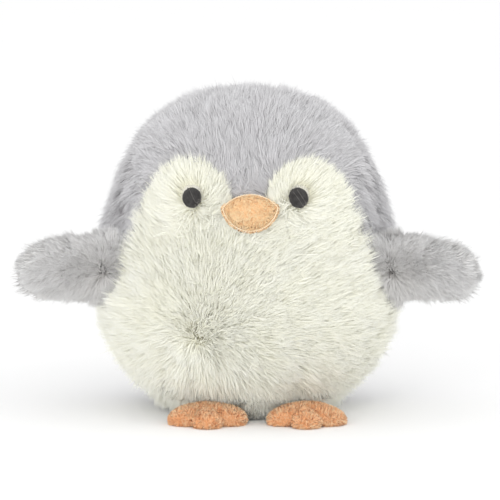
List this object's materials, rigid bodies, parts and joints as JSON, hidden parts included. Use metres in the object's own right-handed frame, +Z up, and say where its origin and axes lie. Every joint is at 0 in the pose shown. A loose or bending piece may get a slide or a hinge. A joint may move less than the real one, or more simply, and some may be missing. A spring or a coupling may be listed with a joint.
{
  "type": "plush penguin",
  "caption": "Round stuffed penguin toy with a white face and belly, grey back and flippers, an orange padded beak and short toed feet.",
  "frame": {"origin": "middle of the flat bottom that the toy sits on", "axes": "+Z up, the face looks along -Y, and +X is to the right as seen from the front; left and right in the names are as seen from the front"},
  "size_m": [0.2771, 0.1611, 0.195],
  "materials": {
    "fur_white": "matte",
    "fur_grey": "matte",
    "foot_plush": "matte",
    "beak_cloth": "matte",
    "cream_thread": "matte",
    "eye_thread": "matte",
    "fibre_fill": "matte",
    "pellet_cloth": "matte",
    "label_satin": "satin"
  },
  "bodies": {
    "torso": {"face_belly_panel": "fur_white", "forehead_panel": "fur_grey", "back_panel_left": "fur_grey", "back_panel_right": "fur_grey", "base_panel": "fur_white", "body_stuffing": "fibre_fill", "pellet_bag": "pellet_cloth", "left_eye": "eye_thread", "right_eye": "eye_thread", "beak_cover": "beak_cloth", "beak_pad": "fibre_fill", "beak_stitching": "cream_thread", "care_label": "label_satin"},
    "left_wing_root": {"wing_root_left": "fur_grey"},
    "left_wing": {"wing_front_left": "fur_grey", "wing_back_left": "fur_grey", "wing_stuffing_left": "fibre_fill"},
    "left_foot": {"foot_top_left": "foot_plush", "foot_sole_left": "foot_plush", "foot_stuffing_left": "fibre_fill"},
    "right_wing_root": {"wing_root_right": "fur_grey"},
    "right_wing": {"wing_front_right": "fur_grey", "wing_back_right": "fur_grey", "wing_stuffing_right": "fibre_fill"},
    "right_foot": {"foot_top_right": "foot_plush", "foot_sole_right": "foot_plush", "foot_stuffing_right": "fibre_fill"}
  },
  "joints": [
    {"name": "left_wing_swing", "type": "hinge", "parent": "torso", "child": "left_wing_root", "pos_m": [-0.08561, -0.02553, 0.088], "axis": [0.0734, -0.4162, 0.9063], "range_deg": [-40, 50], "stiffness_Nm_per_rad": 0.05},
    {"name": "left_wing_lift", "type": "hinge", "parent": "left_wing_root", "child": "left_wing", "pos_m": [-0.10038, -0.02814, 0.088], "axis": [-0.1574, 0.8925, 0.4226], "range_deg": [-15, 25], "stiffness_Nm_per_rad": 0.05},
    {"name": "left_foot_flex", "type": "hinge", "parent": "torso", "child": "left_foot", "pos_m": [-0.0238, -0.03885, 0.003], "axis": [-1, 0, 0], "range_deg": [-25, 12], "stiffness_Nm_per_rad": 0.05},
    {"name": "right_wing_swing", "type": "hinge", "parent": "torso", "child": "right_wing_root", "pos_m": [0.08561, -0.02553, 0.088], "axis": [0.0734, 0.4162, -0.9063], "range_deg": [-40, 50], "stiffness_Nm_per_rad": 0.05},
    {"name": "right_wing_lift", "type": "hinge", "parent": "right_wing_root", "child": "right_wing", "pos_m": [0.10038, -0.02814, 0.088], "axis": [-0.1574, -0.8925, -0.4226], "range_deg": [-15, 25], "stiffness_Nm_per_rad": 0.05},
    {"name": "right_foot_flex", "type": "hinge", "parent": "torso", "child": "right_foot", "pos_m": [0.0342, -0.03885, 0.003], "axis": [-1, 0, 0], "range_deg": [-25, 12], "stiffness_Nm_per_rad": 0.05}
  ]
}
